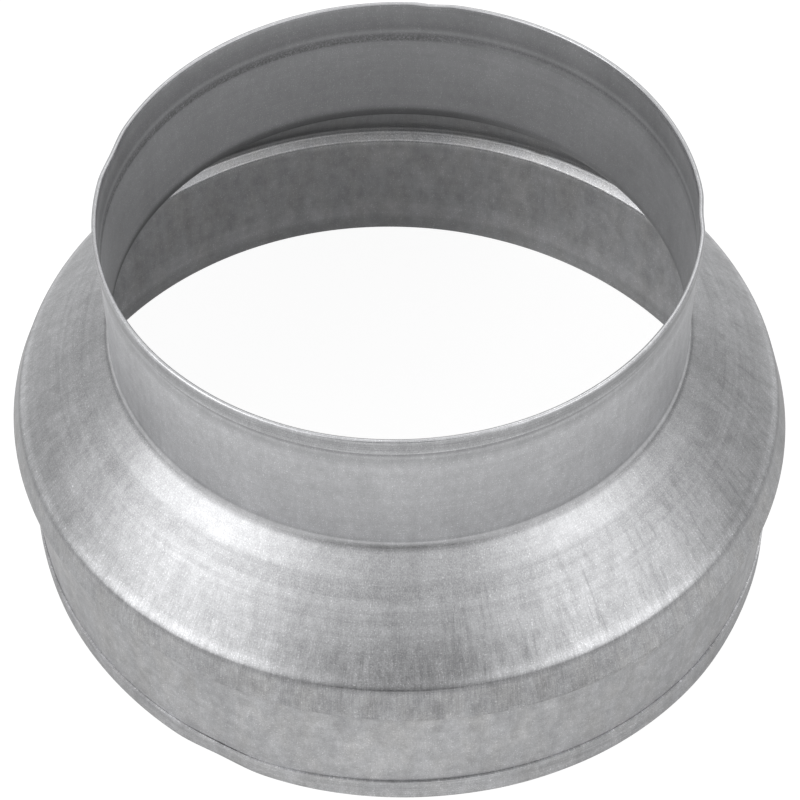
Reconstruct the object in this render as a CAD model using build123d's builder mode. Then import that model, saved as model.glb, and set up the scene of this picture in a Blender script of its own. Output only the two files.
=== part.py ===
from build123d import *
import os

os.makedirs("parts", exist_ok=True)

# Duct reducer: one piece of galvanised sheet, pressed round, standing on its large end.
# Lengths in mm. The duct axis is Z and the floor is Z = 0.

# Sheet
SHEET = 0.5            # thickness of the galvanised sheet
HEM_GAP = 0.25         # air left inside each folded edge

# Bores, across the inside of each collar
SMALL_BORE = 148.0     # collar for the 150 duct
LARGE_BORE = 199.0     # collar for the 200 duct

# Heights, from the floor upwards
LARGE_COLLAR = 36.4    # straight wall from the bottom fold up to the ledge
LEDGE_RISE = 2.3       # how far the ledge climbs on its way out
BAND_RISE = 8.7        # steep band above the ledge
SHOULDER_RISE = 17.8   # crowned shoulder
NECK_RISE = 6.2        # flatter slope beside the small collar
SMALL_COLLAR = 40.0    # straight wall from the shoulder to the top fold
LARGE_HEM = 7.2        # folded edge at the floor
SMALL_HEM = 4.5        # folded edge at the top

# Runs across the radius
LEDGE_RUN = 3.0        # how far the band stands out past the large collar
BAND_RUN = 2.8         # how far the band leans in over its rise
NECK_RUN = 8.0         # width of the flatter slope beside the small collar

# Crown of the shoulder
CROWN = 0.6            # how far its middle stands off a straight line between its ends
CROWN_SHARE = 0.35     # share of each half that the slow bend over the crown takes

# Bend radii on the inner face of the sheet
FOOT_BEND = 3.0        # small collar into the shoulder
SLOPE_BEND = 4.0       # flatter slope into the crowned shoulder
CREASE_BEND = 1.3      # shoulder into the band
EDGE_BEND = 1.8        # band into the ledge
LEDGE_BEND = 1.3       # ledge into the large collar

# Inner face of the sheet, radius and height of each corner
small_r = SMALL_BORE / 2
large_r = LARGE_BORE / 2
edge_r = large_r + LEDGE_RUN
crease_r = edge_r - BAND_RUN
neck_r = small_r + NECK_RUN
ledge_z = LARGE_COLLAR
edge_z = ledge_z + LEDGE_RISE
crease_z = edge_z + BAND_RISE
slope_z = crease_z + SHOULDER_RISE
foot_z = slope_z + NECK_RISE
top_z = foot_z + SMALL_COLLAR

# The crown's corner lies over the middle of the straight line from the crease to the slope
shoulder_run = crease_r - neck_r
shoulder_length = (shoulder_run**2 + SHOULDER_RISE**2) ** 0.5
crown_r = (neck_r + crease_r) / 2 + CROWN * SHOULDER_RISE / shoulder_length
crown_z = (slope_z + crease_z) / 2 + CROWN * shoulder_run / shoulder_length
crown_bend = CROWN_SHARE * (shoulder_length / 2) ** 2 / CROWN

# A fold turns the inner face round half a circle and brings it back outside the wall
fold_r = SHEET + HEM_GAP / 2
small_hem_r = small_r + 2 * fold_r
large_hem_r = large_r + 2 * fold_r

with BuildPart() as reducer_body:
    with BuildSketch(Plane.XZ):
        with BuildLine():
            FilletPolyline(
                (small_r, top_z - fold_r),
                (small_r, foot_z),
                (neck_r, slope_z),
                (crown_r, crown_z),
                (crease_r, crease_z),
                (edge_r, edge_z),
                (large_r, ledge_z),
                (large_r, fold_r),
                radius=(FOOT_BEND, SLOPE_BEND, crown_bend, CREASE_BEND, EDGE_BEND, LEDGE_BEND),
            )
            Line((small_hem_r, top_z - SMALL_HEM), (small_hem_r, top_z - fold_r))
            ThreePointArc(
                (small_hem_r, top_z - fold_r), (small_r + fold_r, top_z), (small_r, top_z - fold_r)
            )
            ThreePointArc((large_r, fold_r), (large_r + fold_r, 0), (large_hem_r, fold_r))
            Line((large_hem_r, fold_r), (large_hem_r, LARGE_HEM))
            offset(amount=SHEET, side=Side.LEFT)
        make_face()
    revolve(axis=Axis.Z, revolution_arc=360)

reducer_body.part.label = "reducer_body"
export_step(reducer_body.part, "parts/reducer_body.step")
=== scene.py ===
# %% [markdown]
# # A duct reducer in pressed zinc-coated sheet
# The object is one ring of thin galvanised steel. It joins a small round duct, on top, to a larger
# one, below. This lesson draws the section of the sheet once, turns it round the duct's axis, knocks
# the dents of use into it, gives it thickness, and then finishes the zinc.

# %% Load the measured solid
import math

import bmesh
import bpy
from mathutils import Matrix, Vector, noise


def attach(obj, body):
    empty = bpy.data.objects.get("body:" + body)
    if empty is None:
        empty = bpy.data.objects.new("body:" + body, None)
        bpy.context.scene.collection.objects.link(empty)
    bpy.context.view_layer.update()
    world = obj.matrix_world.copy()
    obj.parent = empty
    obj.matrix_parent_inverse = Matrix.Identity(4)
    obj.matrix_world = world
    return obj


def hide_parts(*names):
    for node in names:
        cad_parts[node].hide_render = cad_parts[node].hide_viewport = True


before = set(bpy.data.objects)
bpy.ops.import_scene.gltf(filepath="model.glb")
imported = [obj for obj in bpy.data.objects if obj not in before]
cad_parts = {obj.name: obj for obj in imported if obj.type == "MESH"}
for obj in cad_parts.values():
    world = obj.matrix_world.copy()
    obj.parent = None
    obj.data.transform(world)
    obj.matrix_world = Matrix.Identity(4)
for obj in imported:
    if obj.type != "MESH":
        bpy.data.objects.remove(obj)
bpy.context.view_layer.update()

# %% [markdown]
# ## Sizes
# Every length is in metres, in the same frame as the measured solid: the duct's axis is Z and the
# floor is Z = 0. The inner face of the sheet is the datum, because a press shapes the sheet over a
# former that touches that face. The corners below are therefore radii and heights of the inner face.

# %% The section's sizes
MM = 0.001
SHEET = 0.5 * MM
HEM_GAP = 0.25 * MM
FOLD_R = SHEET + HEM_GAP / 2
SMALL_R = 74.0 * MM
LARGE_R = 99.5 * MM
NECK_R = SMALL_R + 8.0 * MM
EDGE_R = LARGE_R + 3.0 * MM
CREASE_R = EDGE_R - 2.8 * MM
LEDGE_Z = 36.4 * MM
EDGE_Z = LEDGE_Z + 2.3 * MM
CREASE_Z = EDGE_Z + 8.7 * MM
SLOPE_Z = CREASE_Z + 17.8 * MM
FOOT_Z = SLOPE_Z + 6.2 * MM
TOP_Z = FOOT_Z + 40.0 * MM
SMALL_HEM_Z = TOP_Z - 4.5 * MM
LARGE_HEM_Z = 7.2 * MM

# The shoulder is crowned: its middle stands a little off the straight line between its ends
CROWN = 0.6 * MM
CROWN_SHARE = 0.35
shoulder = Vector((CREASE_R - NECK_R, SLOPE_Z - CREASE_Z))
CROWN_R = (NECK_R + CREASE_R) / 2 + CROWN * shoulder.y / shoulder.length
CROWN_Z = (SLOPE_Z + CREASE_Z) / 2 + CROWN * shoulder.x / shoulder.length
CROWN_BEND = CROWN_SHARE * (shoulder.length / 2) ** 2 / CROWN
print("height", round(TOP_Z, 4), "widest radius about", round(EDGE_R + SHEET, 4))

# %% [markdown]
# ## Drawing the section
# The real ring is one sheet, so its section is one line from raw edge to raw edge. A turned shape
# could start from cylinders and cones, but their joints would have to be welded and bent by hand. It
# is easier to draw half of the section. One vertex starts at the raw edge of the top fold. Extruding
# it lays a straight run, and spinning it about a fold's centre lays the half circle of that fold, so
# the chain grows in the order in which the sheet runs: down from the top fold, over the shoulder, in
# at the ledge, down the large collar and up the bottom fold.

# %% Lay the chain of edges
FOLD_STEPS = 12
section = bmesh.new()
along = section.verts.layers.float.new("along")


def run_to(vert, radius, height):
    """Extrudes the chain's last vertex and puts the new one at that radius and height."""
    new = bmesh.ops.extrude_vert_indiv(section, verts=[vert])["verts"][0]
    new.co = (radius, 0.0, height)
    return new


def fold_round(vert, radius, height):
    """Spins the chain's last vertex half round a fold's centre."""
    turned = bmesh.ops.spin(
        section,
        geom=[vert],
        cent=(radius, 0.0, height),
        axis=(0.0, 1.0, 0.0),
        angle=-math.pi,
        steps=FOLD_STEPS,
    )
    return turned["geom_last"][0]


tip = bmesh.ops.create_vert(section, co=(SMALL_R + 2 * FOLD_R, 0.0, SMALL_HEM_Z))["vert"][0]
tip = run_to(tip, SMALL_R + 2 * FOLD_R, TOP_Z - FOLD_R)
tip = fold_round(tip, SMALL_R + FOLD_R, TOP_Z - FOLD_R)
corners = []
for radius, height in (
    (SMALL_R, FOOT_Z),
    (NECK_R, SLOPE_Z),
    (CROWN_R, CROWN_Z),
    (CREASE_R, CREASE_Z),
    (EDGE_R, EDGE_Z),
    (LARGE_R, LEDGE_Z),
):
    tip = run_to(tip, radius, height)
    corners.append(tip)
tip = run_to(tip, LARGE_R, FOLD_R)
tip = fold_round(tip, LARGE_R + FOLD_R, FOLD_R)
tip = run_to(tip, LARGE_R + 2 * FOLD_R, LARGE_HEM_Z)
print("chain", len(section.verts), "vertices")

# %% [markdown]
# ## Rounding the bends
# Sheet never bends on a knife edge: each bend has the radius of the press tool. The arcs could be
# worked out point by point, but a vertex bevel rounds a corner of the chain in one step. Its offset
# runs along the edges, so for a bend radius R that turns through an angle A it is R tan(A / 2).

# %% Round each corner
BENDS = (3.0 * MM, 4.0 * MM, CROWN_BEND, 1.3 * MM, 1.8 * MM, 1.3 * MM)
BEND_STEPS = (9, 3, 3, 6, 8, 6)
for corner, bend, steps in zip(corners, BENDS, BEND_STEPS):
    arms = [(edge.other_vert(corner).co - corner.co).normalized() for edge in corner.link_edges]
    turn = math.pi - arms[0].angle(arms[1])
    bmesh.ops.bevel(
        section,
        geom=[corner],
        offset=bend * math.tan(turn / 2),
        offset_type="OFFSET",
        segments=steps,
        profile=0.5,
        affect="VERTICES",
        material=-1,
    )
    print("bend of", round(bend / MM, 2), "mm through", round(math.degrees(turn), 1), "degrees")

# %% [markdown]
# ## Room for dents
# A dent can only show where there are vertices to move. A subdivision modifier would cut everything
# alike and round the bends again, so only the long straight runs are cut, into pieces of about two
# and a half millimetres, and the folds into finer ones.

# %% Cut the long runs
WALL_PITCH = 2.5 * MM
HEM_PITCH = 1.1 * MM
HEM_MARGIN = 2.0 * MM
for edge in list(section.edges):
    middle = (edge.verts[0].co + edge.verts[1].co) / 2
    in_hem = middle.z > SMALL_HEM_Z - HEM_MARGIN or middle.z < LARGE_HEM_Z + HEM_MARGIN
    cuts = int(edge.calc_length() / (HEM_PITCH if in_hem else WALL_PITCH))
    if cuts:
        bmesh.ops.subdivide_edges(section, edges=[edge], cuts=cuts)
print("section now", len(section.verts), "vertices")

# %% [markdown]
# ## A ruler along the sheet
# Marks on pressed metal follow the sheet and not the room: streaks run down the cone, and scratches
# go round a fold. A UV map could hold such places, but here one number is enough: each vertex keeps
# its distance along the sheet from the first raw edge. The spin copies that number round the ring,
# and the material reads it as an attribute.

# %% Walk the chain and write the distance on it
ends = [vert for vert in section.verts if len(vert.link_edges) == 1]
here = max(ends, key=lambda vert: vert.co.z)
last = None
walked = 0.0
while here:
    here[along] = walked
    onward = [edge for edge in here.link_edges if edge is not last]
    last = onward[0] if onward else None
    walked += last.calc_length() if last else 0.0
    here = last.other_vert(here) if last else None


def place(radius, height):
    """How far along the sheet the chain passes nearest to that radius and height."""
    spot = Vector((radius, 0.0, height))
    return min(section.verts, key=lambda vert: (vert.co - spot).length)[along]


SHEET_LENGTH = walked
TOP_FOLD = place(SMALL_R, TOP_Z - FOLD_R)
FOOT = place(SMALL_R, FOOT_Z)
SLOPE = place(NECK_R, SLOPE_Z)
CROWN_AT = place(CROWN_R, CROWN_Z)
CREASE = place(CREASE_R, CREASE_Z)
EDGE = place(EDGE_R, EDGE_Z)
LEDGE = place(LARGE_R, LEDGE_Z)
BOTTOM_FOLD = place(LARGE_R, FOLD_R)
HEM_START = place(LARGE_R + 2 * FOLD_R, FOLD_R)
print("sheet length", round(SHEET_LENGTH / MM, 1), "mm, foot of the collar at", round(FOOT / MM, 1))

# %% [markdown]
# ## Turning it
# The ring is round, so its skin is the section turned about the duct's axis. A Screw modifier would
# do it too, but the dents need real vertices. A full spin with merging closes the ring on itself.
# The doubles are merged and the normals recalculated while the sheet is still a single skin, because
# afterwards it will have two sides.

# %% Spin the section round the duct's axis
TURNS = 360
SEAM = 0.001 * MM
bmesh.ops.spin(
    section,
    geom=section.verts[:] + section.edges[:],
    cent=(0.0, 0.0, 0.0),
    axis=(0.0, 0.0, 1.0),
    angle=math.tau,
    steps=TURNS,
    use_merge=True,
)
bmesh.ops.remove_doubles(section, verts=section.verts[:], dist=SEAM)
bmesh.ops.recalc_face_normals(section, faces=section.faces[:])
print("skin", len(section.faces), "faces")

# %% [markdown]
# ## Dents and ovalness
# Thin rings are never quite round. Seen from above, this one is drawn out a little along one
# diagonal at the bottom and along the other at the top. The top rim also has three short knocks, the
# large collar and its ledge a few small dings, and the bottom edge a flat, a bulge round it and two
# shallow hollows. They could be sculpted, but a push along the radius, worked out from an azimuth
# and a height, can be measured and repeated.

# %% How far the sheet is pushed
TOP_OVAL = 0.0059
BOTTOM_OVAL = -0.0151
# share of the bottom's ovalness that is gone at the ledge
OVAL_LOSS = 0.24
# azimuth and half width in degrees, and depth; each fades out down the collar
RIM_KNOCKS = ((-2.0, 6.0, 0.5 * MM), (83.0, 4.8, 0.55 * MM), (166.0, 8.0, 0.55 * MM))
KNOCK_REACH = 9.0 * MM
FLAT_AZIMUTH = 242.5
# azimuth and half width in degrees, height at which it has faded out, and push
BOTTOM_PUSHES = (
    (196.0, 20.0, 20.0 * MM, -0.45 * MM),
    (FLAT_AZIMUTH, 7.5, 12.0 * MM, -0.65 * MM),
    (247.0, 36.0, 30.0 * MM, 0.92 * MM),
    (334.0, 16.0, 20.0 * MM, -0.33 * MM),
)
# azimuth in degrees, height, half width and depth
DINGS = (
    (-125.5, 19.5 * MM, 4.0 * MM, 0.14 * MM),
    (-122.5, 15.0 * MM, 3.2 * MM, 0.12 * MM),
    (-111.5, 26.0 * MM, 4.0 * MM, 0.14 * MM),
    (66.0, 38.6 * MM, 3.4 * MM, 0.25 * MM),
)


def smooth(value):
    """Eases 0..1 with no kink at either end."""
    value = min(max(value, 0.0), 1.0)
    return value * value * (3.0 - 2.0 * value)


def turned_from(azimuth, centre):
    """How many degrees an azimuth lies from a centre, between -180 and 180."""
    return (azimuth - centre + 180.0) % 360.0 - 180.0


def near(azimuth, centre, half):
    """1 at a centre, easing to 0 at that half width from it."""
    return smooth(1.0 - abs(turned_from(azimuth, centre)) / half)


def push(azimuth, height):
    """How far the sheet moves out at that azimuth (degrees) and height."""
    lobe = math.sin(2.0 * math.radians(azimuth))
    top = smooth((height - FOOT_Z) / (TOP_Z - FOOT_Z))
    low = smooth((CREASE_Z - height) / (CREASE_Z - LEDGE_Z))
    low *= 1.0 - OVAL_LOSS * min(height / LEDGE_Z, 1.0)
    out = SMALL_R * TOP_OVAL * lobe * top + LARGE_R * BOTTOM_OVAL * lobe * low
    for centre, half, depth in RIM_KNOCKS:
        out -= depth * near(azimuth, centre, half) * smooth((height - TOP_Z + KNOCK_REACH) / KNOCK_REACH)
    for centre, half, reach, shift in BOTTOM_PUSHES:
        out += shift * near(azimuth, centre, half) * smooth((reach - height) / reach)
    for centre, level, half, depth in DINGS:
        across = LARGE_R * math.radians(turned_from(azimuth, centre))
        out -= depth * smooth(1.0 - math.hypot(across, height - level) / half)
    return out


print("largest push", round(max(abs(push(a, 0.0)) for a in range(360)) / MM, 2), "mm at the floor")

# %% [markdown]
# ## Uneven folds
# A fold is closed by a roller, so it lies closer to the wall in some places than in others, and the
# bottom fold is wider on one side. Drawn into the section, both would come out the same all round.
# So they follow from the ruler here: the further a vertex is past the bend of its fold, the more it
# moves. Smooth noise decides where a fold is loose.

# %% How a fold leans in and how wide it is
# shares of the gap inside a fold, and how much the noise changes them
TOP_LEAN = 0.35
TOP_PLAY = 0.4
BOTTOM_LEAN = 0.86
BOTTOM_PLAY = 0.25
# how often the noise changes round the ring, and how far apart the two folds lie in it
LOOSE_ROUND = 3.0
LOOSE_TOP = 7.0
# the bottom fold stands open at the flat, within this half width in degrees
FLAT_OPEN = 0.25
FLAT_OPEN_HALF = 14.0
# the bottom fold's width, over the section's, and a narrow place in it
FOLD_MEAN = -0.3 * MM
FOLD_UNEVEN = 1.5 * MM
WIDEST_AZIMUTH = -10.0
NARROW = 0.8 * MM
NARROW_AZIMUTH = 250.0
NARROW_HALF = 16.0


def hug(azimuth, distance):
    """How far a folded edge leans in towards the wall behind it."""
    near_top = smooth((TOP_FOLD - distance) / TOP_FOLD)
    near_bottom = smooth((distance - BOTTOM_FOLD) / (SHEET_LENGTH - BOTTOM_FOLD))
    turn = math.radians(azimuth)
    loose = noise.noise(
        Vector((LOOSE_ROUND * math.cos(turn), LOOSE_ROUND * math.sin(turn), LOOSE_TOP * near_top))
    )
    opened = FLAT_OPEN * near(azimuth, FLAT_AZIMUTH, FLAT_OPEN_HALF)
    top = (TOP_LEAN - TOP_PLAY * loose) * near_top
    bottom = (BOTTOM_LEAN - BOTTOM_PLAY * loose - opened) * near_bottom
    return HEM_GAP * max(top, bottom)


def stretch(azimuth, distance):
    """How far a vertex of the bottom fold moves up, which makes the fold wider."""
    wide = FOLD_MEAN + FOLD_UNEVEN * math.cos(math.radians(azimuth - WIDEST_AZIMUTH))
    wide -= NARROW * near(azimuth, NARROW_AZIMUTH, NARROW_HALF)
    return wide * max(distance - HEM_START, 0.0) / (SHEET_LENGTH - HEM_START)


widths = [stretch(a, SHEET_LENGTH) / MM for a in range(360)]
print("bottom fold", round(min(widths), 2), "to", round(max(widths), 2), "mm wider than the section's")

# %% [markdown]
# ## Moving the vertices
# Every vertex of the skin now moves once, along its radius and up or down. The walls get a slight
# waviness as well, which breaks the reflections in the way that thin sheet does.

# %% Push the ring out of round and dent it
WAVE = 0.06 * MM
WAVE_SIZE = 22.0 * MM
for vert in section.verts:
    x, y, z = vert.co
    azimuth = math.degrees(math.atan2(y, x))
    radius = math.hypot(x, y)
    wave = WAVE * noise.noise(vert.co / WAVE_SIZE)
    grown = radius + push(azimuth, z) + wave - hug(azimuth, vert[along])
    vert.co = (x * grown / radius, y * grown / radius, z + stretch(azimuth, vert[along]))
print("moved", len(section.verts), "vertices")

# %% [markdown]
# ## Thickness
# Solidify pushes a copy of the skin out by the sheet's thickness and closes the raw edges. A modifier
# would do so later, but the faces are needed now. The normals already agree, so both sides come out
# facing the right way. A second number then tells the faces that look at the duct's axis from those
# that look out, because the inside has its own marks.

# %% Give the sheet its thickness
INNER_LIMIT = -0.1
SHARP = math.radians(50)
bmesh.ops.solidify(section, geom=section.faces[:], thickness=SHEET)
inner = section.faces.layers.float.new("inner")
section.normal_update()
for face in section.faces:
    outwards = face.calc_center_median()
    outwards.z = 0.0
    face[inner] = 1.0 if face.normal.dot(outwards.normalized()) < INNER_LIMIT else 0.0
    face.smooth = True
mesh = bpy.data.meshes.new("reducer_sheet")
section.to_mesh(mesh)
section.free()
mesh.set_sharp_from_angle(angle=SHARP)
reducer = bpy.data.objects.new("reducer_sheet", mesh)
bpy.context.scene.collection.objects.link(reducer)
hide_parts("reducer_body")
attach(reducer, "root")
radii = [math.hypot(v.co.x, v.co.y) for v in mesh.vertices]
print("sheet", len(mesh.polygons), "faces, radius", round(min(radii), 5), "to", round(max(radii), 5))


# %% [markdown]
# ## Small helpers for node trees
# The zinc, the floor and the world all need shader nodes. They could be wired by hand in the editor;
# in a script, one call that makes, sets and wires a node keeps each step to a line or two. The other
# helpers are the few sums that come back all the time: a product, a range, a blend and a ramp.

# %% Node helpers
def add(tree, kind, inputs, **settings):
    """Adds a shader node. Inputs may be plain values or other nodes' output sockets."""
    made = tree.nodes.new("ShaderNode" + kind)
    for name, value in settings.items():
        setattr(made, name, value)
    for name, value in inputs.items():
        if isinstance(value, bpy.types.NodeSocket):
            tree.links.new(value, made.inputs[name])
        else:
            made.inputs[name].default_value = value
    return made


def sums(tree, operation, first, second):
    """One Math node, as its output socket."""
    return add(tree, "Math", {0: first, 1: second}, operation=operation).outputs[0]


def product(tree, first, *others):
    """All the values multiplied."""
    for other in others:
        first = sums(tree, "MULTIPLY", first, other)
    return first


def spread(tree, value, start, stop, low=0.0, high=1.0):
    """A value that goes from low to high while another one goes from start to stop."""
    given = {"Value": value, "From Min": start, "From Max": stop, "To Min": low, "To Max": high}
    return add(tree, "MapRange", given).outputs["Result"]


def blend(tree, factor, first, second):
    """The first value where the factor is 0, and the second where it is 1."""
    given = {"Factor": factor, "A": first, "B": second}
    return add(tree, "Mix", given, data_type="FLOAT").outputs["Result"]


def ramp(tree, value, stops):
    """A value that follows another one from 0 to 1, given as pairs of a position and a level."""
    made = add(tree, "ValToRGB", {"Fac": value})
    elements = made.color_ramp.elements
    while len(elements) < len(stops):
        elements.new(0.5)
    for element, (position, level) in zip(elements, stops):
        element.position = position
        element.color = (level, level, level, 1.0)
    return made.outputs["Color"]


def new_group(name, inputs, output):
    """Starts a node group with float inputs, apart from the vector called Place."""
    group = bpy.data.node_groups.new(name, "ShaderNodeTree")
    for title in inputs:
        kind = "NodeSocketVector" if title == "Place" else "NodeSocketFloat"
        group.interface.new_socket(title, in_out="INPUT", socket_type=kind)
    group.interface.new_socket(output, in_out="OUTPUT", socket_type="NodeSocketFloat")
    return group, group.nodes.new("NodeGroupInput").outputs, group.nodes.new("NodeGroupOutput").inputs


print("node helpers ready")

# %% [markdown]
# ## One pattern for every mark
# Grain, streaks, smears, clouds and scratches differ only in how long and how wide their marks
# are, and in how much of the sheet they cover. So one group makes them all: it divides a place on
# the sheet by the size of a mark, looks up smooth noise there, and keeps what lies over a level.

# %% The group that draws marks on the sheet
marks_group, given, result = new_group(
    "sheet_marks", ("Place", "Around", "Along", "Detail", "Level", "Softness"), "Mask"
)
size = add(marks_group, "CombineXYZ", {"X": given["Around"], "Y": given["Around"], "Z": given["Along"]})
scaled = add(
    marks_group, "VectorMath", {0: given["Place"], 1: size.outputs[0]}, operation="DIVIDE"
)
field = add(
    marks_group,
    "TexNoise",
    {"Vector": scaled.outputs[0], "Scale": 1.0, "Detail": given["Detail"], "Roughness": 0.55},
)
start = sums(marks_group, "SUBTRACT", given["Level"], given["Softness"])
stop = sums(marks_group, "ADD", given["Level"], given["Softness"])
kept = add(
    marks_group,
    "MapRange",
    {"Value": field.outputs[0], "From Min": start, "From Max": stop},
    interpolation_type="SMOOTHSTEP",
)
marks_group.links.new(kept.outputs["Result"], result["Mask"])
print("group", marks_group.name, "with", len(marks_group.nodes), "nodes")

# %% [markdown]
# ## Shading a tone by a mask
# Each kind of mark makes the metal a little lighter or darker. The second group multiplies a tone by
# one plus the mark's amount, counted from the mask's even level: a half for marks that cover the
# sheet, so that the average stays put, and nothing for marks that are few and far between.

# %% The group that shades a tone
shade_group, given, result = new_group("shade_by", ("Tone", "Mask", "Amount", "Even"), "Tone")
centred = sums(shade_group, "SUBTRACT", given["Mask"], given["Even"])
change = product(shade_group, centred, given["Amount"])
factor = sums(shade_group, "ADD", change, 1.0)
shade_group.links.new(product(shade_group, given["Tone"], factor), result["Tone"])
print("group", shade_group.name, "with", len(shade_group.nodes), "nodes")

# %% [markdown]
# ## Places on the sheet
# The pattern's place is the unrolled sheet: the direction from the axis, scaled to a tenth of a
# metre, and the distance along the sheet. It comes from Object coordinates and the ruler attribute,
# so the marks stay on the metal from every side.

# %% The zinc's coordinates
UNROLLED_R = 0.1
zinc = bpy.data.materials.new("zinc_sheet")
zinc.use_nodes = True
tree = zinc.node_tree
shader = tree.nodes["Principled BSDF"]
ruler = add(tree, "Attribute", {}, attribute_name="along").outputs["Fac"]
inside = add(tree, "Attribute", {}, attribute_name="inner").outputs["Fac"]
spot = add(tree, "TexCoord", {}).outputs["Object"]
level_spot = add(tree, "VectorMath", {0: spot, 1: (1.0, 1.0, 0.0)}, operation="MULTIPLY")
direction = add(tree, "VectorMath", {0: level_spot.outputs[0]}, operation="NORMALIZE")
rolled = add(tree, "VectorMath", {0: direction.outputs[0], "Scale": UNROLLED_R}, operation="SCALE")
down = add(tree, "CombineXYZ", {"Z": ruler})
unrolled = add(tree, "VectorMath", {0: rolled.outputs[0], 1: down.outputs[0]}, operation="ADD")
share = sums(tree, "DIVIDE", ruler, SHEET_LENGTH)


def marks(around, length, level, softness, detail=2.0):
    """A mask of marks of that width round the ring and that length along the sheet."""
    given = {
        "Place": unrolled.outputs[0],
        "Around": around,
        "Along": length,
        "Detail": detail,
        "Level": level,
        "Softness": softness,
    }
    return add(tree, "Group", given, node_tree=marks_group).outputs["Mask"]


def shade(tone, mask, amount, even=0.5):
    """The tone, lightened or darkened where the mask says."""
    given = {"Tone": tone, "Mask": mask, "Amount": amount, "Even": even}
    return add(tree, "Group", given, node_tree=shade_group).outputs["Tone"]


def by_place(stops):
    """A value that changes along the sheet, from pairs of a distance and a value."""
    return ramp(tree, share, [(distance / SHEET_LENGTH, value) for distance, value in stops])


print("coordinates ready,", len(tree.nodes), "nodes")

# %% [markdown]
# ## Where each mark shows
# Every zone of the sheet was worked in its own way, so the amount of each mark is a ramp along the
# sheet: the collars are rolled smooth, the shoulder and the ledge keep a coarse grain, the band has
# streaks, and the folds have fine scratches that go round. Painting a picture for each mark would
# need an unwrapped sheet; a ramp only needs the ruler.

# %% Amounts by zone
grain_amount = by_place((
    (0.0, 0.32), (TOP_FOLD, 0.20), (TOP_FOLD + 2 * MM, 0.16), (FOOT, 0.16), (FOOT + 1 * MM, 0.34),
    (SLOPE, 0.33), (SLOPE + 1 * MM, 0.42), (SLOPE + 6 * MM, 0.30), (CREASE, 0.28),
    (EDGE - 2 * MM, 0.28), (EDGE, 0.45), (LEDGE - 2.5 * MM, 0.80), (LEDGE, 0.75),
    (LEDGE + 1.5 * MM, 0.26), (BOTTOM_FOLD, 0.24), (BOTTOM_FOLD + 2 * MM, 0.30),
))
streak_amount = by_place((
    (TOP_FOLD, 0.03), (FOOT, 0.04), (FOOT + 1 * MM, 0.08), (SLOPE, 0.06), (CROWN_AT, 0.10),
    (CREASE - 6 * MM, 0.16), (CREASE, 0.22), (EDGE, 0.16), (LEDGE, 0.08), (BOTTOM_FOLD, 0.05),
))
mottle_amount = by_place((
    (TOP_FOLD, 0.12), (FOOT, 0.12), (SLOPE, 0.14), (SLOPE + 1 * MM, 0.16), (CREASE, 0.16),
    (EDGE, 0.22), (LEDGE, 0.22), (BOTTOM_FOLD, 0.20),
))
smear_amount = by_place((
    (TOP_FOLD, 0.07), (FOOT, 0.07), (SLOPE, 0.10), (CREASE - 2 * MM, 0.16), (CREASE + 2 * MM, 0.12),
    (EDGE, 0.12), (LEDGE, 0.16), (BOTTOM_FOLD, 0.16),
))
round_amount = by_place((
    (0.0, 0.26), (TOP_FOLD - 2 * MM, 0.24), (TOP_FOLD + 2 * MM, 0.06), (FOOT, 0.05), (SLOPE, 0.10),
    (CREASE, 0.06), (LEDGE, 0.04), (BOTTOM_FOLD, 0.06), (BOTTOM_FOLD + 2 * MM, 0.24),
))
band_amount = by_place((
    (TOP_FOLD, 0.06), (TOP_FOLD + 10 * MM, 0.06), (FOOT - 10 * MM, 0.04), (SLOPE, 0.05),
    (CROWN_AT, 0.10), (CREASE, 0.04), (BOTTOM_FOLD - 12 * MM, 0.04), (BOTTOM_FOLD, 0.10),
))
print("six ramps of amounts")

# %% [markdown]
# ## The outside's tone
# A tone of a half is plain zinc. The outside is lighter on the collars and along the top fold's raw
# edge. It has painted highlights on the top of that fold and just above the crease, a painted shadow
# just under the top fold and a painted dark line just below the crease. A second ramp multiplies it
# with the fine lines that the press tool left on the shoulder, a painted dark line in the bend below
# the collar's foot and a painted light line on the bottom raw edge: a half there is no change, less
# is a dark line and more a light one.


# %% Tone of the outside
def on_collar(height):
    """How far along the sheet a height in millimetres on the small collar lies."""
    return TOP_FOLD + TOP_Z - FOLD_R - height * MM


# painted light and shade in this ramp: painted highlights on the top of the top fold and just above the
# crease, a painted shadow just under the top fold and a painted dark line just below the crease
outside_tone = by_place((
    (0.0, 0.63), (0.8 * MM, 0.53), (1.6 * MM, 0.46), (3.5 * MM, 0.48), (4.1 * MM, 0.62),
    (TOP_FOLD - 0.8 * MM, 0.52), (TOP_FOLD, 0.50), (on_collar(105.7), 0.40), (on_collar(105.3), 0.46),
    (on_collar(105.0), 0.60), (on_collar(104.6), 0.58), (on_collar(104.0), 0.50),
    (on_collar(103.0), 0.535), (on_collar(100.5), 0.65), (on_collar(97.0), 0.62),
    (on_collar(90.0), 0.62), (on_collar(80.0), 0.66), (FOOT - 3 * MM, 0.715), (FOOT + 2 * MM, 0.475),
    (SLOPE - 1 * MM, 0.47), (SLOPE + 0.5 * MM, 0.46), (CROWN_AT, 0.51), (CREASE - 3.5 * MM, 0.55),
    (CREASE - 2 * MM, 0.68), (CREASE - 0.8 * MM, 0.66), (CREASE + 0.1 * MM, 0.37),
    (CREASE + 0.6 * MM, 0.41), (CREASE + 1.6 * MM, 0.495), (EDGE - 3 * MM, 0.49), (EDGE, 0.515),
    (LEDGE, 0.55), (SHEET_LENGTH, 0.56),
))
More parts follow.
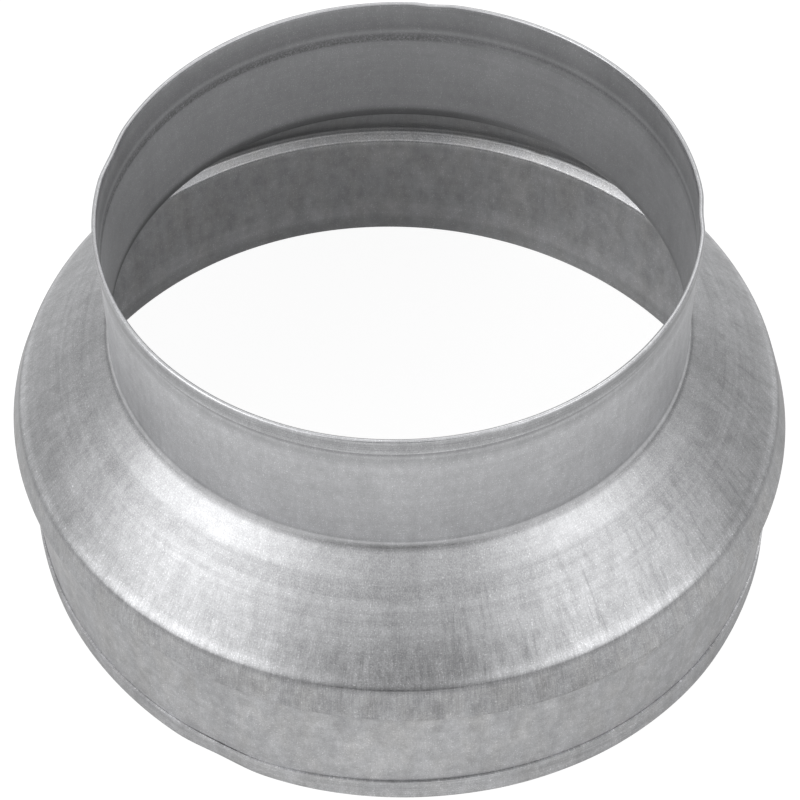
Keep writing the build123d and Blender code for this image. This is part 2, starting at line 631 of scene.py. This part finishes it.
# besides the press tool's lines, this ramp holds a painted dark line in the bend below the collar's foot
# and a painted light line on the bottom raw edge
press_and_painted_lines = by_place((
    (FOOT + 0.7 * MM, 0.50), (FOOT + 1.2 * MM, 0.33), (FOOT + 1.7 * MM, 0.35), (FOOT + 2.3 * MM, 0.50),
    (SLOPE - 1.5 * MM, 0.50), (SLOPE - 1 * MM, 0.465), (SLOPE - 0.1 * MM, 0.465),
    (SLOPE + 0.4 * MM, 0.50), (SLOPE + 3.3 * MM, 0.485), (SLOPE + 4 * MM, 0.52),
    (SLOPE + 5.6 * MM, 0.52), (SLOPE + 6.3 * MM, 0.48), (SLOPE + 6.9 * MM, 0.485),
    (SLOPE + 7.5 * MM, 0.515), (SLOPE + 8.1 * MM, 0.50), (SLOPE + 8.5 * MM, 0.48),
    (SLOPE + 10 * MM, 0.50), (SHEET_LENGTH - 0.15 * MM, 0.50), (SHEET_LENGTH, 0.55),
))
lined_tone = product(tree, outside_tone, press_and_painted_lines, 2.0)
print("outside tone with its press lines")

# %% [markdown]
# ## The inside's tone
# Inside, the small collar has a light line below its rim. The band just above the ledge has a painted
# shade, and the ledge, which faces up, a painted highlight. The two tones are blended by the number
# that tells the faces apart, and doubled, so that plain zinc counts as one.

# %% Tone of the inside
STRIPE = on_collar(100.0)
# painted shade on the band just above the inner ledge, and a painted highlight on the ledge, which faces
# up
inside_tone = by_place((
    (TOP_FOLD - 0.5 * MM, 0.50), (TOP_FOLD, 0.76), (on_collar(110.6), 0.72), (on_collar(110.1), 0.57),
    (on_collar(107.0), 0.485), (on_collar(104.0), 0.43), (on_collar(103.1), 0.44),
    (on_collar(102.2), 0.54), (on_collar(101.7), 0.54), (STRIPE - 1.1 * MM, 0.48),
    (STRIPE + 1.5 * MM, 0.50), (STRIPE + 2.2 * MM, 0.55), (on_collar(95.0), 0.55),
    (on_collar(80.0), 0.475), (FOOT - 3.8 * MM, 0.46), (SLOPE, 0.48), (CREASE, 0.46),
    (LEDGE - 8 * MM, 0.41), (LEDGE - 5.6 * MM, 0.33), (LEDGE - 3.4 * MM, 0.34),
    (LEDGE - 2.7 * MM, 0.45), (LEDGE - 2 * MM, 0.59), (LEDGE - 0.2 * MM, 0.61),
    (LEDGE + 0.6 * MM, 0.57), (LEDGE + 1.5 * MM, 0.565), (BOTTOM_FOLD - 13 * MM, 0.56),
    (BOTTOM_FOLD - 9 * MM, 0.63), (BOTTOM_FOLD - 6 * MM, 0.64), (BOTTOM_FOLD - 4 * MM, 0.55),
))
tone = product(tree, blend(tree, inside, lined_tone, inside_tone), 2.0)
print("tone of both sides,", len(tree.nodes), "nodes so far")

# %% [markdown]
# ## Marks that cover the sheet
# Fine grain, short streaks down the slopes, lines and soft bands round the ring, mottle, smears and
# clouds: each is one use of the marks group, and each shades the tone around its average. The
# inside is quieter, so most of its marks are weaker.

# %% Even marks
INSIDE_QUIET = 0.45
CLOUD_AMOUNT = 0.10
grain = marks(around=0.36 * MM, length=0.36 * MM, level=0.5, softness=0.24)
streaks = marks(around=0.34 * MM, length=4.5 * MM, level=0.5, softness=0.22)
rounds = marks(around=25.0 * MM, length=0.3 * MM, level=0.5, softness=0.22)
bands = marks(around=70.0 * MM, length=2.2 * MM, level=0.5, softness=0.25)
mottle = marks(around=2.4 * MM, length=3.0 * MM, level=0.5, softness=0.25, detail=3.0)
smears = marks(around=7.0 * MM, length=26.0 * MM, level=0.5, softness=0.28)
clouds = marks(around=16.0 * MM, length=16.0 * MM, level=0.5, softness=0.35, detail=3.0)
quiet = sums(tree, "SUBTRACT", 1.0, product(tree, inside, INSIDE_QUIET))
for mask, amount in (
    (grain, grain_amount),
    (streaks, streak_amount),
    (rounds, round_amount),
    (mottle, mottle_amount),
    (smears, smear_amount),
):
    tone = shade(tone, mask, product(tree, amount, quiet))
tone = shade(tone, bands, band_amount)
tone = shade(tone, clouds, CLOUD_AMOUNT)
print("seven even marks")

# %% [markdown]
# ## Painted light and shade that is not the same all round
# The direction from the axis, as X to the right and Y to the back, gives soft limits for painted light
# and shade that differ by side. The bend inside the foot has a painted shade, weaker on the right. The
# inner ledge is painted lighter towards the right and darker towards the left, and the whole inside is
# painted lighter towards the right. The shoulder is painted lighter by the collar at both sides, and
# the small collar a little darker straight in front and lighter elsewhere.

# %% Painted light and shade of the inside
facing = add(tree, "SeparateXYZ", {0: direction.outputs[0]}).outputs
less_shade_right = spread(tree, facing["X"], 0.65, 0.2, low=0.3, high=1.0)
# painted shade in the bend inside the foot, weaker on the right
painted_foot_shade = by_place((
    (FOOT - 3.8 * MM, 0.0), (FOOT - 2.6 * MM, 0.18), (FOOT - 2 * MM, 0.42), (FOOT - 1.4 * MM, 0.58),
    (FOOT + 0.6 * MM, 0.66), (FOOT + 2.5 * MM, 0.3), (SLOPE, 0.0),
))
tone = shade(tone, product(tree, painted_foot_shade, less_shade_right, inside), -1.0, even=0.0)
ledge_only = by_place((
    (LEDGE - 3 * MM, 0.0), (LEDGE - 2.2 * MM, 1.0), (LEDGE + 0.2 * MM, 1.0), (LEDGE + 1 * MM, 0.0),
))
# painted highlight on the inner ledge towards the right, and painted shade on it towards the left
painted_ledge_light = spread(tree, facing["X"], -0.5, 0.3, low=-0.14, high=0.2)
tone = shade(tone, product(tree, ledge_only, inside), painted_ledge_light, even=0.0)
# painted light: the whole inside lighter towards the right and a little darker on the left
painted_light_right = spread(tree, facing["X"], -0.5, 0.5, low=-0.03, high=0.07)
tone = shade(tone, inside, painted_light_right, even=0.0)
print("three kinds of wear inside")

# %% Painted light and shade of the outside
outside = sums(tree, "SUBTRACT", 1.0, inside)
at_sides = spread(tree, sums(tree, "ABSOLUTE", facing["X"], 0.0), 0.85, 0.97)
# painted light on the shoulder by the collar, at both sides
painted_flank_light = by_place((
    (FOOT - 2 * MM, 0.0), (FOOT + 1 * MM, 0.15), (SLOPE + 6 * MM, 0.12), (CROWN_AT + 3 * MM, 0.0),
))
tone = shade(tone, product(tree, at_sides, outside), painted_flank_light, even=0.0)
collar_only = by_place((
    (TOP_FOLD + 3 * MM, 0.0), (TOP_FOLD + 6 * MM, 1.0), (FOOT - 12 * MM, 1.0), (FOOT - 3 * MM, 0.0),
))
# painted shade on the small collar straight in front, and painted light on the rest of it
painted_front_shade = spread(tree, facing["Y"], -0.97, -0.88, low=-0.03, high=0.05)
tone = shade(tone, product(tree, collar_only, outside), painted_front_shade, even=0.0)
print("two kinds of wear outside")

# %% [markdown]
# ## Marks that come and go
# Scratches lighten the zinc here and there, and small bright specks are painted glints. Dark patches
# on the front, scuffs on the shoulder, stains on the inner wall and a stripe of rubs inside the small
# collar darken it. Most use the same group with a higher level, so that only the tops of the noise
# are left, and each of the dark ones is limited to its own place.

# %% Where the scattered marks lie
in_front = spread(tree, facing["Y"], -0.78, -0.95)
on_the_left = spread(tree, facing["X"], 0.35, 0.05)
more_right = spread(tree, facing["X"], -0.3, 0.2, low=0.25, high=1.0)
# dark patches on the lower shoulder, the band and the large collar, kept to the front
front_patch_amount = by_place((
    (CREASE - 13 * MM, 0.0), (CREASE - 8 * MM, 0.16), (CREASE - 2.5 * MM, 0.18),
    (CREASE - 1.5 * MM, 0.04), (CREASE + 1 * MM, 0.20), (EDGE - 1 * MM, 0.22), (LEDGE, 0.12),
    (BOTTOM_FOLD, 0.05),
))
scuff_amount = by_place((
    (FOOT, 0.0), (SLOPE, 0.04), (SLOPE + 3 * MM, 0.16), (CREASE - 3 * MM, 0.18), (CREASE, 0.0),
))
stain_amount = by_place((
    (EDGE, 0.0), (LEDGE + 2 * MM, 0.22), (BOTTOM_FOLD - 12 * MM, 0.22), (BOTTOM_FOLD, 0.08),
))
thin_stripe = by_place((
    (STRIPE - 1.3 * MM, 0.0), (STRIPE - 0.9 * MM, 0.30), (STRIPE - 0.2 * MM, 0.30),
    (STRIPE + 0.2 * MM, 0.0),
))
wide_stripe = by_place((
    (STRIPE - 0.2 * MM, 0.0), (STRIPE + 0.2 * MM, 0.42), (STRIPE + 1.2 * MM, 0.42),
    (STRIPE + 1.6 * MM, 0.0),
))
stripe_amount = sums(tree, "ADD", thin_stripe, product(tree, wide_stripe, on_the_left))
print("amounts for smudges, scuffs, stains and the stripe")

# %% Scattered marks
SCRATCH_AMOUNT = 0.25
GLINT_AMOUNT = 0.4
scratches = marks(around=0.2 * MM, length=8.0 * MM, level=0.74, softness=0.04)
# bright specks that lighten the colour: painted glints
glint_flecks = marks(around=0.3 * MM, length=0.3 * MM, level=0.72, softness=0.05, detail=0.0)
front_dark_patches = marks(around=3.5 * MM, length=8.0 * MM, level=0.52, softness=0.2, detail=4.0)
scuffs = marks(around=1.4 * MM, length=9.0 * MM, level=0.62, softness=0.12, detail=3.0)
stains = marks(around=4.0 * MM, length=8.0 * MM, level=0.56, softness=0.25, detail=5.0)
rubs = marks(around=0.7 * MM, length=0.5 * MM, level=0.46, softness=0.16, detail=3.0)
tone = shade(tone, scratches, SCRATCH_AMOUNT, even=0.0)
tone = shade(tone, glint_flecks, GLINT_AMOUNT, even=0.0)
for mask, amount, where in (
    (front_dark_patches, front_patch_amount, in_front),
    (scuffs, scuff_amount, more_right),
    (stains, stain_amount, inside),
    (rubs, stripe_amount, inside),
):
    tone = shade(tone, mask, product(tree, amount, where, -1.0), even=0.0)
print("six scattered marks")

# %% [markdown]
# ## Colour
# Zinc is a cool grey. The band and the large collar have picked up a hint of warm dust in patches,
# so two greys are mixed by one more mask, and the finished tone scales the mix.

# %% Colour of the zinc
COOL_GREY = (0.400, 0.402, 0.411)
WARM_GREY = (0.404, 0.402, 0.403)
warm_amount = by_place(((CREASE, 0.0), (CREASE + 2 * MM, 0.8), (LEDGE, 1.0), (BOTTOM_FOLD, 0.6)))
dust = marks(around=6.0 * MM, length=14.0 * MM, level=0.52, softness=0.16, detail=4.0)
warm = product(tree, dust, warm_amount)
hue = add(tree, "Mix", {"Factor": warm, "A": COOL_GREY, "B": WARM_GREY}, data_type="VECTOR").outputs[1]
colour = add(tree, "VectorMath", {0: hue, "Scale": tone}, operation="SCALE").outputs[0]
tree.links.new(colour, shader.inputs["Base Color"])
print("colour from", COOL_GREY, "to", WARM_GREY)

# %% [markdown]
# ## Gloss and relief
# The shine of zinc changes with the same marks: its grains catch the light one by one, so the
# roughness follows the grain, and a very shallow bump tilts each of them. The inside is duller than
# the outside, apart from the worn ledge. The dull skin on old zinc also takes some of the glare off
# at a grazing view, which is what a grey specular tint does on a metal.

# %% Roughness and bump
GLOSS_BY_GRAIN = 0.2
GLOSS_BY_CLOUDS = 0.12
GRAIN_RELIEF = 0.6
STREAK_RELIEF = 0.4
shader.inputs["Metallic"].default_value = 1.0
shader.inputs["Specular Tint"].default_value = (0.8, 0.8, 0.8, 1.0)
outside_gloss = by_place((
    (0.0, 0.38), (TOP_FOLD, 0.40), (FOOT, 0.42), (SLOPE - 2 * MM, 0.40), (SLOPE - 0.5 * MM, 0.46),
    (CROWN_AT, 0.46), (CREASE - 5 * MM, 0.42), (CREASE - 2 * MM, 0.36), (CREASE, 0.38),
    (EDGE - 2 * MM, 0.48), (LEDGE, 0.46), (BOTTOM_FOLD, 0.44),
))
inside_gloss = by_place((
    (TOP_FOLD, 0.42), (TOP_FOLD + 2 * MM, 0.60), (FOOT - 3 * MM, 0.60), (FOOT, 0.50), (CREASE, 0.55),
    (EDGE, 0.42), (LEDGE + 0.5 * MM, 0.42), (LEDGE + 2 * MM, 0.60),
))
roughness = blend(tree, inside, outside_gloss, inside_gloss)
roughness = shade(roughness, grain, GLOSS_BY_GRAIN)
roughness = shade(roughness, clouds, GLOSS_BY_CLOUDS)
tree.links.new(roughness, shader.inputs["Roughness"])
grain_relief = product(tree, grain, GRAIN_RELIEF)
relief = sums(tree, "ADD", grain_relief, product(tree, streaks, STREAK_RELIEF))
bump = add(tree, "Bump", {"Strength": 0.12, "Distance": 0.04 * MM, "Height": relief})
tree.links.new(bump.outputs["Normal"], shader.inputs["Normal"])
mesh.materials.append(zinc)
print("zinc has", len(tree.nodes), "nodes")

# %% [markdown]
# ## Floor
# The photograph is a cut-out on white. A backdrop could be curved up behind the ring, but a wide
# disc that glows for the camera is white to its edge, and its grey diffuse share keeps a faint
# shadow of the ring.

# %% Floor
FLOOR_R = 3.0
FLOOR_GREY = (0.2, 0.2, 0.2, 1.0)
FLOOR_DROP = 0.2 * MM
floor_form = bmesh.new()
bmesh.ops.create_circle(floor_form, cap_ends=True, segments=96, radius=FLOOR_R)
floor_mesh = bpy.data.meshes.new("floor")
floor_form.to_mesh(floor_mesh)
floor_form.free()
floor = bpy.data.objects.new("floor", floor_mesh)
floor.location.z = -FLOOR_DROP
bpy.context.scene.collection.objects.link(floor)
pale = bpy.data.materials.new("floor_white")
pale.use_nodes = True
floor_tree = pale.node_tree
pale_shader = floor_tree.nodes["Principled BSDF"]
pale_shader.inputs["Base Color"].default_value = FLOOR_GREY
pale_shader.inputs["Roughness"].default_value = 1.0
pale_shader.inputs["Specular IOR Level"].default_value = 0.0
pale_shader.inputs["Emission Color"].default_value = (1.0, 1.0, 1.0, 1.0)
floor_mesh.materials.append(pale)
print("floor of radius", FLOOR_R, "m")

# %% [markdown]
# ## What the ring mirrors of the floor
# Zinc mirrors the floor, so the floor's glow in reflections has to be as uneven as a real floor's
# light. Inside the ring it lies in the shade of the walls and is lightest on the right, where the
# stronger lamp shines in. Outside, the ring's own shadow is darkest where the two meet and away from
# that lamp, and fades into the open floor. The limit between inside and outside is as oval as the
# bottom edge.

# %% Glow of the floor
SEEN_LEVEL = 0.92
FAR_LEVEL = 0.83
OVAL_SLANT = -2.0 * BOTTOM_OVAL / LARGE_R


def seen_white(tree):
    """A value of 1 for camera, glossy and transmitted rays, and 0 for the rest."""
    path = add(tree, "LightPath", {})
    first = sums(tree, "MAXIMUM", path.outputs["Is Camera Ray"], path.outputs["Is Glossy Ray"])
    return sums(tree, "MAXIMUM", first, path.outputs["Is Transmission Ray"])


floor_spot = add(floor_tree, "TexCoord", {}).outputs["Object"]
from_axis = add(floor_tree, "VectorMath", {0: floor_spot}, operation="LENGTH").outputs["Value"]
side = add(floor_tree, "SeparateXYZ", {0: floor_spot}).outputs
across = spread(floor_tree, side["X"], -120 * MM, 120 * MM)
lit_inside = ramp(floor_tree, across, ((0.25, 0.57), (0.42, 0.49), (0.54, 0.52), (0.72, 0.98)))
under_walls = spread(floor_tree, from_axis, 0.0, 95 * MM, low=0.96, high=0.46)
in_shade = product(floor_tree, under_walls, lit_inside)
contact_shadow = ramp(floor_tree, across, ((0.0, 0.50), (0.5, 0.78), (1.0, 0.38)))
own_shadow = ramp(floor_tree, across, ((0.0, 0.74), (0.5, 0.88), (1.0, 0.60)))
past_contact = spread(floor_tree, from_axis, 102 * MM, 112 * MM)
near_shadow = blend(floor_tree, past_contact, contact_shadow, own_shadow)
past_shadow = spread(floor_tree, from_axis, 140 * MM, 260 * MM)
in_light = blend(floor_tree, past_shadow, near_shadow, FAR_LEVEL)
slant = product(floor_tree, side["X"], side["Y"], OVAL_SLANT)
as_round = sums(floor_tree, "ADD", from_axis, slant)
past_ring = spread(floor_tree, as_round, LARGE_R + 0.3 * MM, LARGE_R + 0.9 * MM)
mirrored = blend(floor_tree, past_ring, in_shade, in_light)
by_camera = add(floor_tree, "LightPath", {}).outputs["Is Camera Ray"]
level = blend(floor_tree, by_camera, mirrored, SEEN_LEVEL)
glow = product(floor_tree, seen_white(floor_tree), level)
floor_tree.links.new(glow, pale_shader.inputs["Emission Strength"])
print("floor glows through", len(floor_tree.nodes), "nodes")

# %% [markdown]
# ## World
# A studio is white all round. The world is therefore white for the camera and in reflections, and a
# quieter sky for everything else, so that the lamps still shape the metal.

# %% World
SKY_LEVEL = 0.45
world = bpy.data.worlds.new("studio")
bpy.context.scene.world = world
world.use_nodes = True
sky = world.node_tree.nodes["Background"]
sky.inputs["Color"].default_value = (1.0, 1.0, 1.0, 1.0)
sky_level = spread(world.node_tree, seen_white(world.node_tree), 0.0, 1.0, low=SKY_LEVEL)
world.node_tree.links.new(sky_level, sky.inputs["Strength"])
print("sky of", SKY_LEVEL)

# %% [markdown]
# ## Lamps
# Two big softboxes light the shoulder from both sides of the camera, and draw the two bright lobes
# on it. A third lights the far rim. Area lamps are used because their size sets how soft the edges
# of those lobes are.

# %% Lamps
RING_MIDDLE = Vector((0.0, 0.0, 50 * MM))


def stand(azimuth, elevation, distance):
    """A place round the ring. Azimuth counts from the camera's side, plus to the right."""
    turn = math.radians(azimuth)
    rise = math.radians(elevation)
    way = Vector((math.sin(turn) * math.cos(rise), -math.cos(turn) * math.cos(rise), math.sin(rise)))
    return RING_MIDDLE + way * distance, (-way).to_track_quat("-Z", "Y").to_euler()


def softbox(name, azimuth, elevation, distance, width, height, power):
    """A rectangular lamp aimed at the ring."""
    lamp = bpy.data.lights.new(name, "AREA")
    lamp.shape = "RECTANGLE"
    lamp.size = width
    lamp.size_y = height
    lamp.energy = power
    holder = bpy.data.objects.new(name, lamp)
    holder.location, holder.rotation_euler = stand(azimuth, elevation, distance)
    bpy.context.scene.collection.objects.link(holder)
    print(name, "of", power, "W")


softbox("key_left", azimuth=-66, elevation=39, distance=1.1, width=0.8, height=0.75, power=4.8)
softbox("fill_right", azimuth=60, elevation=37, distance=1.1, width=0.6, height=0.65, power=2.5)
softbox("top_back", azimuth=160, elevation=60, distance=1.2, width=0.6, height=0.5, power=2.2)

# %% [markdown]
# ## Cards
# A photographer keeps bright metal from washing out with dark cards. One stands on the camera's side,
# lower than the camera, and a grey one stands on each side of the ring. Only reflections see them:
# they draw the dark lines in the bends and darken the ring's flanks.

# %% Cards
CARD_DISTANCE = 1.0


def card(name, azimuth, elevation, width, height, grey):
    """A board round the ring that only reflections see."""
    form = bmesh.new()
    bmesh.ops.create_grid(form, x_segments=1, y_segments=1, size=0.5)
    bmesh.ops.scale(form, vec=(width, height, 1.0), verts=form.verts[:])
    board_mesh = bpy.data.meshes.new(name)
    form.to_mesh(board_mesh)
    form.free()
    board = bpy.data.objects.new(name, board_mesh)
    board.location, board.rotation_euler = stand(azimuth, elevation, CARD_DISTANCE)
    bpy.context.scene.collection.objects.link(board)
    paint = bpy.data.materials.new(name)
    paint.use_nodes = True
    paint_shader = paint.node_tree.nodes["Principled BSDF"]
    paint_shader.inputs["Base Color"].default_value = (grey, grey, grey, 1.0)
    paint_shader.inputs["Roughness"].default_value = 1.0
    board_mesh.materials.append(paint)
    board.visible_camera = False
    board.visible_diffuse = False
    board.visible_shadow = False
    board.visible_transmission = False
    print(name, "of grey", grey)


card("card_front", azimuth=0, elevation=14, width=0.72, height=0.62, grey=0.08)
card("card_left", azimuth=-105, elevation=5, width=0.9, height=0.46, grey=0.6)
card("card_right", azimuth=105, elevation=5, width=0.9, height=0.46, grey=0.35)

# %% [markdown]
# ## Camera
# The photograph looks down on the ring at fifty degrees through a longish lens. The numbers come
# from fitting a camera to the edges of the two rims. The lens follows from the focal length in
# pixels and the picture's width.

# %% Camera
ELEVATION = math.radians(49.99)
DISTANCE = 669.3 * MM
AIM = Vector((0.3 * MM, 0.0, 36.7 * MM))
FOCAL_PX = 2494.9
PICTURE_PX = 800.0
eye = bpy.data.cameras.new("camera")
eye.sensor_width = 36.0
eye.lens = FOCAL_PX * eye.sensor_width / PICTURE_PX
eye.clip_start = 0.01
camera = bpy.data.objects.new("camera", eye)
camera.location = AIM + DISTANCE * Vector((0.0, -math.cos(ELEVATION), math.sin(ELEVATION)))
camera.rotation_euler = (math.pi / 2 - ELEVATION, 0.0, 0.0)
bpy.context.scene.collection.objects.link(camera)
bpy.context.scene.camera = camera
bpy.context.scene.view_settings.view_transform = "Standard"
print("lens", round(eye.lens, 2), "mm at", round(DISTANCE, 3), "m")
